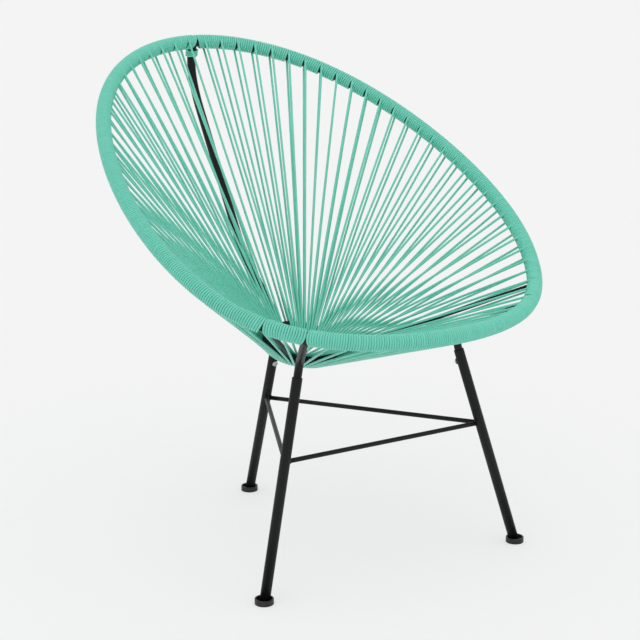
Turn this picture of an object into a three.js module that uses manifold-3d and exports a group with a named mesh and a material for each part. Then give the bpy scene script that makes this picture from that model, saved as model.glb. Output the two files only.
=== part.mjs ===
// A string lounge chair: a steel hoop and a small base ring, laced together with plastic cord into an
// open bowl, on three splayed tube legs. Millimetres, +Z up. The model is built with y = 0 on the
// centreline of the hoop's front, and moved at the end so that the middle of its footprint is the origin.
import * as THREE from 'three';
import { mergeVertices } from 'three/addons/utils/BufferGeometryUtils.js';
import Module from 'manifold-3d';

const wasm = await Module();
wasm.setup();

// The hoop, seen along its own plane: half its width and half its length, and how much fuller its rear
// or front half is, as shares of the half width.
const hoopHalfWidth = 351;
const hoopHalfLength = 465;
const frontFullnessShare = 0.111;
const endFullnessShare = 0.083;

// The hoop's side line: its height at the front, its slope there and over the rest, and the bend between.
const hoopFrontHeight = 447.8;
const frontSlope = THREE.MathUtils.degToRad(6.3);
const rearSlope = THREE.MathUtils.degToRad(28);
const slopeBendLength = 211;

// The steel bars and tubes.
const hoopTubeDiameter = 19;
const ringBarDiameter = 16;
const ringRadius = 62;
const ringHeight = 337;
const ringTilt = THREE.MathUtils.degToRad(18.6);
const spineDiameter = 16;
const strutDiameter = 8;
const stubDiameter = 14;
const legWall = 1.5;
const stretcherDiameter = 8;

// The legs: where their axes meet the floor, and where they pass the knee height under the bowl. The
// front stubs bend a little above it.
const kneeHeight = 370;
const frontFootX = 261;
const frontFootY = 146;
const frontKneeX = 162;
const frontKneeY = 197;
const rearFootY = 639;
const rearKneeY = 520;
const stubCornerHeight = 384;
const legTopBelowCorner = 25;
const legTopBelowRing = 37;
const stubDepthInLeg = 42;
const stubBendLength = 24;
const frontStretcherHeight = 225;
const rearStretcherHeight = 204;

// The spine's two corners, from the hoop's back and from its bend at the ring, and its bends' lengths.
const spineTopBack = 28;
const spineTopDown = 47;
const spineTopBendLength = 95;
const spineLowBack = 132;
const spineLowUp = 111;
const spineLowBendLength = 42;
const spineBendLength = 22;

// The feet.
const footDiameter = 32;
const footHeight = 10;
const footFloor = 4;
const footWall = 2.6;
const footEdge = 1;
const footPlugLength = 24;

// The screws that hold the legs on their stubs.
const screwDiameter = 6;
const screwHeadDiameter = 11;
const screwHeadHeight = 3;
const screwBelowLegTop = 20;
const screwBite = 12;

// The cord, laced from the hoop to the ring and back.
const cordDiameter = 3.8;
const gapCount = 76;
const cordCount = 4;
const pairHalfSpacing = 3.2;
const stubBay = 7.5;
const strutBay = 9.5;
const stubPlace = 240;
const stubPairExtra = 3.5;
const spineExtraAngle = THREE.MathUtils.degToRad(15);

// Clearance between separate pieces, and the overrun of the cuts.
const clearance = 0.3;
const overrun = 30;

// Facets.
const cordSides = 5;
const turnSteps = 4;
const barSides = 8;
const roundSides = 16;
const hoopSteps = 88;
const ringSteps = 36;

const hoopRadius = hoopTubeDiameter / 2;
const ringBarRadius = ringBarDiameter / 2;
const spineRadius = spineDiameter / 2;
const stubRadius = stubDiameter / 2;
const cordRadius = cordDiameter / 2;
const legBoreRadius = stubRadius + clearance;
const legRadius = legBoreRadius + legWall;
const frontLegTopHeight = stubCornerHeight - legTopBelowCorner;
const rearLegTopHeight = ringHeight - legTopBelowRing;

const steel = { color: 0x17181a, roughness: 0.45, metalness: 0.3 };
const plastic = { color: 0x101011, roughness: 0.4, metalness: 0 };
const zinc = { color: 0x9a9c9e, roughness: 0.35, metalness: 0.9 };
const mint = { color: 0x56c9a8, roughness: 0.35, metalness: 0 };

const chair = new THREE.Group();

function addPiece(name, geometry, look) {
  const mesh = new THREE.Mesh(geometry, new THREE.MeshStandardMaterial(look));
  mesh.name = name;
  chair.add(mesh);
  return mesh;
}

// Solids and booleans.
function toSolid(geometry) {
  const bare = geometry.clone();
  bare.deleteAttribute('normal');
  bare.deleteAttribute('uv');
  const merged = mergeVertices(bare, cordDiameter / 10000);
  return new wasm.Manifold(new wasm.Mesh({
    numProp: 3,
    vertProperties: new Float32Array(merged.attributes.position.array),
    triVerts: new Uint32Array(merged.index.array),
  }));
}

function toGeometry(solid) {
  const mesh = solid.getMesh();
  const geometry = new THREE.BufferGeometry();
  geometry.setAttribute('position', new THREE.BufferAttribute(new Float32Array(mesh.vertProperties), 3));
  geometry.setIndex(new THREE.BufferAttribute(new Uint32Array(mesh.triVerts), 1));
  geometry.computeVertexNormals();
  return geometry;
}

function cut(geometry, cutters) {
  let solid = toSolid(geometry);
  for (const cutter of cutters) {
    solid = solid.subtract(toSolid(cutter));
  }
  return toGeometry(solid);
}

function join(geometry, others) {
  let solid = toSolid(geometry);
  for (const other of others) {
    solid = solid.add(toSolid(other));
  }
  return toGeometry(solid);
}

// A round bar along a curve, with flat ends.
function barAlong(curve, radius, steps) {
  const section = new THREE.Shape();
  for (let i = 0; i < barSides; i += 1) {
    const angle = (2 * Math.PI * i) / barSides;
    const x = radius * Math.cos(angle);
    const y = radius * Math.sin(angle);
    if (i === 0) section.moveTo(x, y);
    else section.lineTo(x, y);
  }
  return new THREE.ExtrudeGeometry(section, { steps, extrudePath: curve, curveSegments: 1 });
}

function straightBar(start, end, radius) {
  return barAlong(new THREE.LineCurve3(start, end), radius, 1);
}

// The space that a round bar needs in its neighbours, with its flats clear of the bar.
function barSpace(start, end, radius) {
  return straightBar(start, end, (radius + clearance) / Math.cos(Math.PI / barSides));
}

// The hoop's centreline, by the angle t round it: 0 at the front, a half turn at the back.
function sideLine(distance) {
  const bend = slopeBendLength / (rearSlope - frontSlope);
  const slope = frontSlope + Math.min(distance, slopeBendLength) / bend;
  const beyond = Math.max(distance - slopeBendLength, 0);
  return {
    y: bend * (Math.sin(slope) - Math.sin(frontSlope)) + beyond * Math.cos(rearSlope),
    z: hoopFrontHeight + bend * (Math.cos(frontSlope) - Math.cos(slope)) + beyond * Math.sin(rearSlope),
  };
}

function hoopPoint(t) {
  const side = sideLine(hoopHalfLength * (1 - Math.cos(t)));
  const fullness = 1 + frontFullnessShare * Math.cos(t) + endFullnessShare * Math.cos(t) ** 2;
  return new THREE.Vector3(hoopHalfWidth * Math.sin(t) * fullness, side.y, side.z);
}

class HoopCurve extends THREE.Curve {
  getPoint(share, target = new THREE.Vector3()) {
    return target.copy(hoopPoint(2 * Math.PI * share));
  }
}

const hoopCurve = new HoopCurve();
hoopCurve.arcLengthDivisions = 2000;
const hoopLength = hoopCurve.getLength();
const hoopBack = hoopPoint(Math.PI);

// The length run along the hoop to a place counted in bays from the front. The bays between the two
// front stubs are a little shorter than the others.
const frontBayLength = stubPlace / stubBay;
const bayLength = (hoopLength / 2 - stubPlace) / (gapCount / 2 - stubBay);

function lengthTo(bays) {
  const half = gapCount / 2;
  const place = bays > half ? bays - gapCount : bays;
  const inFront = Math.min(Math.abs(place), stubBay);
  return Math.sign(place) * (inFront * frontBayLength + (Math.abs(place) - inFront) * bayLength);
}

// The hoop's centre and direction at a place in bays, and a distance beyond it.
function hoopAt(bays, beyond = 0) {
  const share = (((lengthTo(bays) + beyond) / hoopLength) % 1 + 1) % 1;
  return { point: hoopCurve.getPointAt(share), along: hoopCurve.getTangentAt(share) };
}

// The leg axes: each runs from the floor past its tube's top to the knee.
function makeAxis(footX, footY, kneeX, kneeY, top) {
  const foot = new THREE.Vector3(footX, footY, 0);
  const knee = new THREE.Vector3(kneeX, kneeY, kneeHeight);
  return { foot, knee, top, along: knee.clone().sub(foot).normalize() };
}

function legPoint(leg, height) {
  return leg.foot.clone().lerp(leg.knee, height / kneeHeight);
}

const legs = {
  front_left: makeAxis(-frontFootX, frontFootY, -frontKneeX, frontKneeY, frontLegTopHeight),
  front_right: makeAxis(frontFootX, frontFootY, frontKneeX, frontKneeY, frontLegTopHeight),
  rear: makeAxis(0, rearFootY, 0, rearKneeY, rearLegTopHeight),
};

// The base ring tilts up at its rear, where it touches the front of the spine at the spine's bend.
const tiltAxis = new THREE.Vector3(1, 0, 0);
const ringRearHeight = ringHeight + ringRadius * Math.sin(ringTilt);
const spineBend = legPoint(legs.rear, ringRearHeight);
const ringRearY = spineBend.y - spineRadius - clearance - ringBarRadius;
const ringCentre = new THREE.Vector3(0, ringRearY - ringRadius * Math.cos(ringTilt), ringHeight);

function ringAt(angle) {
  const outward = new THREE.Vector3(Math.sin(angle), -Math.cos(angle), 0).applyAxisAngle(tiltAxis, ringTilt);
  const along = new THREE.Vector3(Math.cos(angle), Math.sin(angle), 0).applyAxisAngle(tiltAxis, ringTilt);
  return { point: ringCentre.clone().addScaledVector(outward, ringRadius), along };
}

function ringGeometry(barRadius) {
  const torus = new THREE.TorusGeometry(ringRadius, barRadius, barSides, ringSteps);
  return torus.rotateX(ringTilt).translate(ringCentre.x, ringCentre.y, ringCentre.z);
}

function hoopGeometry(tubeRadius) {
  return new THREE.TubeGeometry(hoopCurve, hoopSteps, tubeRadius, barSides, true);
}

const hoopSpace = hoopGeometry(hoopRadius + clearance);
const ringSpace = ringGeometry(ringBarRadius + clearance);

// The angle round the ring of a cord pair or a strut, by its place in bays. The pairs are evenly spaced,
// with a wider space where the spine meets the ring.
const ringStep = (2 * Math.PI - spineExtraAngle) / gapCount;

function ringAngle(bays) {
  const half = gapCount / 2;
  return ringStep * (bays > half ? bays - gapCount : bays);
}

// The hoop and the ring.
addPiece('hoop_tube', hoopGeometry(hoopRadius), steel);
addPiece('base_ring', ringGeometry(ringBarRadius), steel);

// The screw of each leg, driven outwards from the chair's middle.
function screwPlace(leg) {
  const centre = legPoint(leg, leg.top - screwBelowLegTop);
  const inward = new THREE.Vector3(-centre.x, ringCentre.y - centre.y, 0);
  inward.addScaledVector(leg.along, -inward.dot(leg.along)).normalize();
  return { centre, inward };
}

function screwHole(leg) {
  const { centre, inward } = screwPlace(leg);
  const start = centre.clone().addScaledVector(inward, legRadius + overrun);
  const end = centre.clone().addScaledVector(inward, legRadius - legWall - screwBite - clearance);
  return barSpace(start, end, screwDiameter / 2);
}

function makeScrew(leg) {
  const { centre, inward } = screwPlace(leg);
  const shank = screwDiameter / 2;
  const head = screwHeadDiameter / 2;
  const under = legRadius + clearance;
  const profile = [
    new THREE.Vector2(0, under - legWall - screwBite),
    new THREE.Vector2(shank, under - legWall - screwBite),
    new THREE.Vector2(shank, under),
    new THREE.Vector2(head, under),
    new THREE.Vector2(head, under + screwHeadHeight / 2),
    new THREE.Vector2(head - screwHeadHeight / 2, under + screwHeadHeight),
    new THREE.Vector2(0, under + screwHeadHeight),
  ];
  const geometry = new THREE.LatheGeometry(profile, 12);
  const turn = new THREE.Quaternion().setFromUnitVectors(new THREE.Vector3(0, 1, 0), inward);
  return geometry.applyQuaternion(turn).translate(centre.x, centre.y, centre.z);
}

// A leg is a tube along its axis, cut level where it stands in its foot.
function makeLeg(leg) {
  const { foot } = leg;
  const length = legPoint(leg, leg.top).distanceTo(foot);
  const profile = [
    new THREE.Vector2(legBoreRadius, -overrun),
    new THREE.Vector2(legRadius, -overrun),
    new THREE.Vector2(legRadius, length),
    new THREE.Vector2(legBoreRadius, length),
    new THREE.Vector2(legBoreRadius, -overrun),
  ];
  const turn = new THREE.Quaternion().setFromUnitVectors(new THREE.Vector3(0, 1, 0), leg.along);
  const tube = new THREE.LatheGeometry(profile, roundSides);
  tube.applyQuaternion(turn).translate(foot.x, foot.y, foot.z);
  const seatHeight = footFloor + clearance;
  const block = new THREE.BoxGeometry(4 * overrun, 4 * overrun, 4 * overrun);
  block.translate(foot.x, foot.y, seatHeight - 2 * overrun);
  return cut(tube, [block, screwHole(leg)]);
}

// A foot is a shallow cup that stands level, with a slanted plug inside the leg's bore.
function makeFoot(leg) {
  const outer = footDiameter / 2;
  const inner = outer - footWall;
  const profile = [
    new THREE.Vector2(0, 0),
    new THREE.Vector2(outer - footEdge, 0),
    new THREE.Vector2(outer, footEdge),
    new THREE.Vector2(outer, footHeight - footEdge),
    new THREE.Vector2(outer - footEdge, footHeight),
    new THREE.Vector2(inner, footHeight),
    new THREE.Vector2(inner, footFloor),
    new THREE.Vector2(0, footFloor),
  ];
  const cup = new THREE.LatheGeometry(profile, 24);
  cup.rotateX(Math.PI / 2).translate(leg.foot.x, leg.foot.y, 0);
  const start = legPoint(leg, footFloor / 2);
  const end = start.clone().addScaledVector(leg.along, footPlugLength);
  return join(cup, [straightBar(start, end, legBoreRadius - clearance)]);
}

for (const [side, leg] of Object.entries(legs)) {
  addPiece(`leg_${side}`, makeLeg(leg), steel);
  addPiece(`foot_${side}`, makeFoot(leg), plastic);
  addPiece(`leg_screw_${side}`, makeScrew(leg), zinc);
}

// The three stretcher rods, between the leg axes. Each stops at the legs and at the rods before it.
function legSpace(leg) {
  return barSpace(leg.foot, leg.knee, legRadius);
}

const nodeHeights = {
  front_left: frontStretcherHeight,
  front_right: frontStretcherHeight,
  rear: rearStretcherHeight,
};
const stretchers = [
  ['front', 'front_left', 'front_right'],
  ['left', 'front_left', 'rear'],
  ['right', 'front_right', 'rear'],
];
const rodSpaces = [];
for (const [name, from, to] of stretchers) {
  const start = legPoint(legs[from], nodeHeights[from]);
  const end = legPoint(legs[to], nodeHeights[to]);
  const rod = straightBar(start, end, stretcherDiameter / 2);
  const piece = cut(rod, [legSpace(legs[from]), legSpace(legs[to]), ...rodSpaces]);
  addPiece(`stretcher_${name}`, piece, steel);
  rodSpaces.push(barSpace(start, end, stretcherDiameter / 2));
}

// A front stub runs straight from the hoop, between the two strands of a pair, and bends into the leg.
function stubPath(start, leg) {
  const corner = legPoint(leg, stubCornerHeight);
  const reach = corner.clone().sub(start).normalize();
  const before = corner.clone().addScaledVector(reach, -stubBendLength);
  const after = corner.clone().addScaledVector(leg.along, -stubBendLength);
  const path = new THREE.CurvePath();
  path.add(new THREE.LineCurve3(start, before));
  path.add(new THREE.QuadraticBezierCurve3(before, corner, after));
  path.add(new THREE.LineCurve3(after, legPoint(leg, leg.top - stubDepthInLeg)));
  return path;
}

// The front stubs join the hoop to the front legs.
for (const [side, sign] of [['left', -1], ['right', 1]]) {
  const leg = legs[`front_${side}`];
  const stub = barAlong(stubPath(hoopAt(sign * stubBay).point, leg), stubRadius, 20);
  addPiece(`front_stub_${side}`, cut(stub, [hoopSpace, screwHole(leg)]), steel);
}

// The front struts carry the ring from the hoop, between the upper and the lower strands.
for (const [side, sign] of [['left', -1], ['right', 1]]) {
  const start = hoopAt(sign * strutBay).point;
  const end = ringAt(ringAngle(sign * strutBay)).point;
  const strut = straightBar(start, end, strutDiameter / 2);
  addPiece(`front_strut_${side}`, cut(strut, [hoopSpace, ringSpace]), steel);
}

// The spine leaves the hoop to the rear, runs down behind the cords, turns in to the ring, bends there
// and seats on the rear leg with a spigot.
const spineEnd = legPoint(legs.rear, legs.rear.top).addScaledVector(legs.rear.along, clearance);
const topCorner = new THREE.Vector3(0, hoopBack.y + spineTopBack, hoopBack.z - spineTopDown);
const lowCorner = new THREE.Vector3(0, spineBend.y + spineLowBack, spineBend.z + spineLowUp);

function pointTowards(from, to, distance) {
  return from.clone().addScaledVector(to.clone().sub(from).normalize(), distance);
}

const topBendEnd = pointTowards(topCorner, lowCorner, spineTopBendLength);
const lowBendStart = pointTowards(lowCorner, topCorner, spineLowBendLength);
const lowBendEnd = pointTowards(lowCorner, spineBend, spineLowBendLength);
const bendTop = pointTowards(spineBend, lowCorner, spineBendLength);
const bendLow = pointTowards(spineBend, legs.rear.foot, spineBendLength);
const spinePath = new THREE.CurvePath();
spinePath.add(new THREE.QuadraticBezierCurve3(hoopBack, topCorner, topBendEnd));
spinePath.add(new THREE.LineCurve3(topBendEnd, lowBendStart));
spinePath.add(new THREE.QuadraticBezierCurve3(lowBendStart, lowCorner, lowBendEnd));
spinePath.add(new THREE.LineCurve3(lowBendEnd, bendTop));
spinePath.add(new THREE.QuadraticBezierCurve3(bendTop, spineBend, bendLow));
spinePath.add(new THREE.LineCurve3(bendLow, spineEnd));
const spigotEnd = legPoint(legs.rear, legs.rear.top - stubDepthInLeg);
const spigot = straightBar(bendLow, spigotEnd, stubRadius);
const spine = join(barAlong(spinePath, spineRadius, 30), [spigot]);
addPiece('rear_spine', cut(spine, [hoopSpace, ringSpace, screwHole(legs.rear)]), steel);

// A cord: one unbroken tube of few sides through its points, with each section square to the bend.
function cordGeometry(points) {
  const positions = [];
  const index = [];
  const frameUp = new THREE.Vector3(0, 0, 1);
  let normal = null;
  points.forEach((point, i) => {
    const before = points[Math.max(i - 1, 0)];
    const after = points[Math.min(i + 1, points.length - 1)];
    const arriving = point.clone().sub(before).normalize();
    const leaving = after.clone().sub(point).normalize();
    const along = arriving.add(leaving).normalize();
    if (!normal) normal = new THREE.Vector3().crossVectors(frameUp, along);
    normal.addScaledVector(along, -normal.dot(along)).normalize();
    const other = new THREE.Vector3().crossVectors(along, normal);
    for (let side = 0; side < cordSides; side += 1) {
      const angle = (2 * Math.PI * side) / cordSides;
      const corner = point.clone()
        .addScaledVector(normal, cordRadius * Math.cos(angle))
        .addScaledVector(other, cordRadius * Math.sin(angle));
      positions.push(corner.x, corner.y, corner.z);
    }
  });
  for (let i = 0; i + 1 < points.length; i += 1) {
    for (let side = 0; side < cordSides; side += 1) {
      const a = i * cordSides + side;
      const b = i * cordSides + ((side + 1) % cordSides);
      index.push(a, b, b + cordSides, a, b + cordSides, a + cordSides);
    }
  }
  const last = (points.length - 1) * cordSides;
  for (let side = 1; side + 1 < cordSides; side += 1) {
    index.push(0, side + 1, side, last, last + side, last + side + 1);
  }
  const geometry = new THREE.BufferGeometry();
  geometry.setAttribute('position', new THREE.Float32BufferAttribute(positions, 3));
  geometry.setIndex(index);
  geometry.computeVertexNormals();
  return geometry;
}

// A turn of cord lies on its bar at this radius, so that the flat steps between its points clear the bar.
function turnRadius(barRadius) {
  return (barRadius + cordRadius + clearance) / Math.cos(Math.PI / (2 * turnSteps));
}

// The place of a cord round a bar: 'toward' points along the cord to the other bar and 'inside' into
// the bowl, both square to the bar.
function wrapFrame(place, target) {
  const toward = target.clone().sub(place.point);
  toward.addScaledVector(place.along, -toward.dot(place.along)).normalize();
  const inside = new THREE.Vector3().crossVectors(place.along, toward);
  if (inside.z < 0) inside.negate();
  return { ...place, toward, inside };
}

function onTurn(frame, angle, radius) {
  return frame.point.clone()
    .addScaledVector(frame.inside, radius * Math.cos(angle))
    .addScaledVector(frame.toward, -radius * Math.sin(angle));
}

// Half the space between a pair's two strands at the hoop: a stub stands between them where it meets it.
function halfSpacing(place) {
  const fromFront = Math.min(place, gapCount - place);
  return fromFront === stubBay ? stubRadius + cordDiameter + stubPairExtra : pairHalfSpacing;
}

// The points of one pair: over the hoop from outside, down to the ring, round it and back under the hoop.
function pairPoints(gap) {
  const points = [];
  const middle = gap + 0.5;
  const ringPlace = ringAt(ringAngle(middle));
  const onRing = wrapFrame(ringPlace, hoopAt(middle).point);
  const spacing = halfSpacing(middle);
  const spacingBefore = halfSpacing((middle - 1 + gapCount) % gapCount);
  for (let i = 1; i <= turnSteps; i += 1) {
    const share = i / turnSteps;
    const beyond = THREE.MathUtils.lerp(spacingBefore, -spacing, share);
    const frame = wrapFrame(hoopAt(middle - 1 + share, beyond), onRing.point);
    points.push(onTurn(frame, Math.PI * (1 - share), turnRadius(hoopRadius)));
  }
  for (let i = 0; i <= turnSteps; i += 1) {
    points.push(onTurn(onRing, (Math.PI * i) / turnSteps, turnRadius(ringBarRadius)));
  }
  const last = wrapFrame(hoopAt(middle, spacing), onRing.point);
  points.push(onTurn(last, Math.PI, turnRadius(hoopRadius)));
  return points;
}

// The least gap between two stretches of the same cord, measured on points along it.
function leastGap(points) {
  const step = cordDiameter / 2;
  const samples = [];
  let travelled = 0;
  for (let i = 0; i + 1 < points.length; i += 1) {
    const length = points[i].distanceTo(points[i + 1]);
    const count = Math.ceil(length / step);
    for (let j = 0; j < count; j += 1) {
      const point = points[i].clone().lerp(points[i + 1], j / count);
      samples.push({ point, travelled: travelled + (length * j) / count });
    }
    travelled += length;
  }
  const apart = 4 * cordDiameter;
  let least = Infinity;
  for (let i = 0; i < samples.length; i += 1) {
    for (let j = i + 1; j < samples.length; j += 1) {
      if (samples[j].travelled - samples[i].travelled < apart) continue;
      const distance = samples[i].point.distanceToSquared(samples[j].point);
      if (distance < least) least = distance;
    }
  }
  return Math.sqrt(least) - cordDiameter;
}

const cordNames = [
  'seat_cord_front_right',
  'seat_cord_back_right',
  'seat_cord_back_left',
  'seat_cord_front_left',
];
const pairsPerCord = gapCount / cordCount;
cordNames.forEach((name, number) => {
  const points = [];
  for (let pair = 0; pair < pairsPerCord; pair += 1) {
    points.push(...pairPoints(number * pairsPerCord + pair));
  }
  console.log(`${name}: least gap to itself ${leastGap(points).toFixed(2)} mm`);
  addPiece(name, cordGeometry(points), mint);
});

// The middle of the footprint is the origin.
chair.position.y = -hoopBack.y / 2;

export default chair;
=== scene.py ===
# %% [markdown]
# # A string lounge chair
# The chair is a steel hoop and a small steel ring, laced together with plastic cord into an open
# bowl, and carried by three splayed legs. The frame is loaded first, so that every new piece can be
# made at the place that the construction gives it.

# %% Load the frame
import math
import bpy
import numpy as np
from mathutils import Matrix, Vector


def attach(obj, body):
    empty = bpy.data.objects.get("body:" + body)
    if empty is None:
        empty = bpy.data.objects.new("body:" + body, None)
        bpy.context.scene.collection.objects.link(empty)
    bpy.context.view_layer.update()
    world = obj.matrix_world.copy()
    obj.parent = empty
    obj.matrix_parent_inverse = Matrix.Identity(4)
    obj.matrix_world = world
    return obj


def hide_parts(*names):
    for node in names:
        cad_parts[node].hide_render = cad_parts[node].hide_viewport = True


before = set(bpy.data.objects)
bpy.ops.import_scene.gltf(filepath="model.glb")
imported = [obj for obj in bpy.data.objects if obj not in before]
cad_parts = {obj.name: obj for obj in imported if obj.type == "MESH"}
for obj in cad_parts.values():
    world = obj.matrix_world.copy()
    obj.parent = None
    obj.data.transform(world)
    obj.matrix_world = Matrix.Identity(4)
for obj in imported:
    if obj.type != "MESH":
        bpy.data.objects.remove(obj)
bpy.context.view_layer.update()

print("pieces in the frame:", len(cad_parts))

# %% [markdown]
# ## Bars and cord
# The chair is made of round steel bars of a few thicknesses and one round cord. Each size could
# stand at its own piece, but neighbours need each other's radius to meet, so the shared ones are
# named once, here. All sizes are in metres. Pieces that only touch are kept apart by the clearance.

# %% Shared sizes
MM = 0.001
RIGHT = np.array([1.0, 0.0, 0.0])
UP = np.array([0.0, 0.0, 1.0])

HOOP_RADIUS = 9.5 * MM
RING_BAR_RADIUS = 8 * MM
SPINE_RADIUS = 8 * MM
STRUT_RADIUS = 4 * MM
STUB_RADIUS = 7 * MM
LEG_RADIUS = 8.8 * MM
ROD_RADIUS = 4 * MM
CORD_RADIUS = 2.1 * MM
CLEARANCE = 0.3 * MM
print("hoop tube", round(2 * HOOP_RADIUS / MM, 1), "mm, cord", round(2 * CORD_RADIUS / MM, 1), "mm")

# %% [markdown]
# ## Surfaces from arrays
# Nearly every piece of this chair is a round section carried along a line, or a profile turned
# round an axis. Bevelled curves could make the first kind, but not the saddle-shaped welds or the
# cord's own map that come later. So each piece is a grid of points, worked out as whole arrays: one
# direction runs along the piece and the other runs round it.

# %% Directions and lengths
def unit(vectors):
    """Each vector divided by its own length."""
    return vectors / np.linalg.norm(vectors, axis=-1, keepdims=True)


def across(vectors, along):
    """Each vector less its part along the path, made one long: it stands square to the path."""
    return unit(vectors - np.sum(vectors * along, axis=-1, keepdims=True) * along)


def round_angles(count):
    """Even angles once round, without the last one, which would be the first again."""
    return np.linspace(0, 2 * np.pi, count, endpoint=False)


def turned(angle, side, other):
    """The direction at an angle: its cosine times one direction plus its sine times the other."""
    return np.cos(angle) * side + np.sin(angle) * other


def length_run(path):
    """The length along a path up to each of its points: the running sum of its steps."""
    return np.concatenate([[0], np.cumsum(np.linalg.norm(np.diff(path, axis=0), axis=1))])


# %% Meshes from grids
def add_object(name, data):
    """A new object in the scene, at the origin and unturned."""
    new_object = bpy.data.objects.new(name, data)
    bpy.context.scene.collection.objects.link(new_object)
    return new_object


def mesh_from_grid(name, grid, loop=False, uv=None):
    """Faces between neighbours of a grid that is closed round its second direction. 'loop' closes
    the first direction as well, and otherwise one face closes each end. 'uv' gives each point of
    the grid its place on the surface."""
    rows, sides = grid.shape[:2]
    index = np.arange(rows * sides).reshape(rows, sides)
    ahead = np.roll(index, -1, axis=0) if loop else index[1:]
    here = index if loop else index[:-1]
    faces = np.stack([here, np.roll(here, -1, axis=1), np.roll(ahead, -1, axis=1), ahead], axis=-1)
    faces = faces.reshape(-1, 4).tolist()
    if not loop:
        faces += [index[0, ::-1].tolist(), index[-1].tolist()]
    mesh = bpy.data.meshes.new(name)
    mesh.from_pydata(grid.reshape(-1, 3).tolist(), [], faces)
    mesh.polygons.foreach_set("use_smooth", [len(face) == 4 for face in faces])
    if uv is not None:
        corner = np.array([vertex.vertex_index for vertex in mesh.loops])
        layer = mesh.uv_layers.new(name="surface")
        layer.data.foreach_set("uv", uv.reshape(-1, 2)[corner].ravel())
    mesh.update()
    return add_object(name, mesh)


# %% Tubes and curves
def tube_grid(path, side, radius, sides, loop=False):
    """Circle of the given radius, square to the path at each point: the centre, plus the cosine of
    the angle times the side direction, plus its sine times the direction square to both."""
    if loop:
        along = unit(np.roll(path, -1, axis=0) - np.roll(path, 1, axis=0))
    else:
        along = unit(np.gradient(path, axis=0))
    normal = across(np.broadcast_to(side, path.shape), along)
    other = np.cross(along, normal)
    angle = round_angles(sides)[None, :, None]
    radius = np.broadcast_to(radius, (len(path),))[:, None, None]
    return path[:, None] + radius * turned(angle, normal[:, None], other[:, None])


def bezier(points, count):
    """Bezier curve: the weighted mean of its control points, with binomial weights."""
    share = np.linspace(0, 1, count)[:, None]
    last = len(points) - 1
    weights = [math.comb(last, i) * share ** i * (1 - share) ** (last - i) for i in range(last + 1)]
    return sum(weight * np.asarray(point, float) for weight, point in zip(weights, points))


def line(start, end, count):
    """Points evenly spaced from the start to the end."""
    return bezier([start, end], count)


# %% [markdown]
# ## The hoop's line
# The hoop is one steel tube bent into an egg shape. Seen from the side it rises gently at the front
# and steeply behind. It could be a curve drawn by hand, but the cord is laid out on it turn by
# turn, so it is a formula. The middle of its outline, seen from above, is the origin.

# %% Hoop line
HOOP_HALF_WIDTH = 351 * MM
HOOP_HALF_LENGTH = 465 * MM
FRONT_FULLNESS = 0.111
END_FULLNESS = 0.083
HOOP_FRONT_HEIGHT = 447.8 * MM
FRONT_SLOPE = math.radians(6.3)
REAR_SLOPE = math.radians(28)
SLOPE_BEND = 211 * MM


def side_line(distance):
    """The hoop seen from the side: a slope that grows evenly over the bend and then stays."""
    bend = SLOPE_BEND / (REAR_SLOPE - FRONT_SLOPE)
    slope = FRONT_SLOPE + np.minimum(distance, SLOPE_BEND) / bend
    beyond = np.maximum(distance - SLOPE_BEND, 0)
    y = bend * (np.sin(slope) - np.sin(FRONT_SLOPE)) + beyond * np.cos(REAR_SLOPE)
    rise = bend * (np.cos(FRONT_SLOPE) - np.cos(slope))
    return y, HOOP_FRONT_HEIGHT + rise + beyond * np.sin(REAR_SLOPE)


HALF_DEPTH = float(side_line(np.array(2 * HOOP_HALF_LENGTH))[0]) / 2


def hoop_line(turn):
    """Width: the sine of the turn, made fuller at the front by its cosine and at both ends by the
    cosine's square. Depth and height: the side line at the distance from the front."""
    y, z = side_line(HOOP_HALF_LENGTH * (1 - np.cos(turn)))
    fullness = 1 + FRONT_FULLNESS * np.cos(turn) + END_FULLNESS * np.cos(turn) ** 2
    return np.stack([HOOP_HALF_WIDTH * np.sin(turn) * fullness, y - HALF_DEPTH, z], axis=-1)


print("hoop half depth", round(HALF_DEPTH, 4))

# %% [markdown]
# ## Places along the hoop
# The winding is broken by gaps, where the pairs of cord leave it. A place on the hoop is given in
# bays, the stretches between neighbouring gaps. Equal steps of the formula aren't equal lengths of
# tube, so a fine table holds the length run so far. It goes three times round, one round before
# the front and two after it, so that a place just past either end is still found.

# %% Places along the hoop
GAPS = 76
STUB_BAY = 7.5
STUB_PLACE = 240 * MM
TABLE_ROUNDS = 3
TABLE_STEPS = 6000 * TABLE_ROUNDS

table_turn = np.linspace(-2 * np.pi, 2 * np.pi * (TABLE_ROUNDS - 1), TABLE_STEPS + 1)
table_length = length_run(hoop_line(table_turn))
HOOP_LENGTH = table_length[-1] / TABLE_ROUNDS
FRONT_BAY = STUB_PLACE / STUB_BAY
BAY = (HOOP_LENGTH / 2 - STUB_PLACE) / (GAPS / 2 - STUB_BAY)


def length_to(bays):
    """The length along the hoop to a place in bays from the front. The bays between the two front
    stubs are a little shorter than the others."""
    bays = np.asarray(bays, float)
    rounds = np.round(bays / GAPS)
    place = bays - rounds * GAPS
    in_front = np.minimum(np.abs(place), STUB_BAY)
    length = in_front * FRONT_BAY + (np.abs(place) - in_front) * BAY
    return rounds * HOOP_LENGTH + np.sign(place) * length


def hoop_at(length):
    """The hoop's point and direction at a length along it, by a lookup in the table."""
    turn = np.interp(np.asarray(length, float) + HOOP_LENGTH, table_length, table_turn)
    small = 1e-4
    return hoop_line(turn), unit(hoop_line(turn + small) - hoop_line(turn - small))


print("hoop length", round(HOOP_LENGTH, 4), "bays", round(FRONT_BAY, 5), round(BAY, 5))

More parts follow.
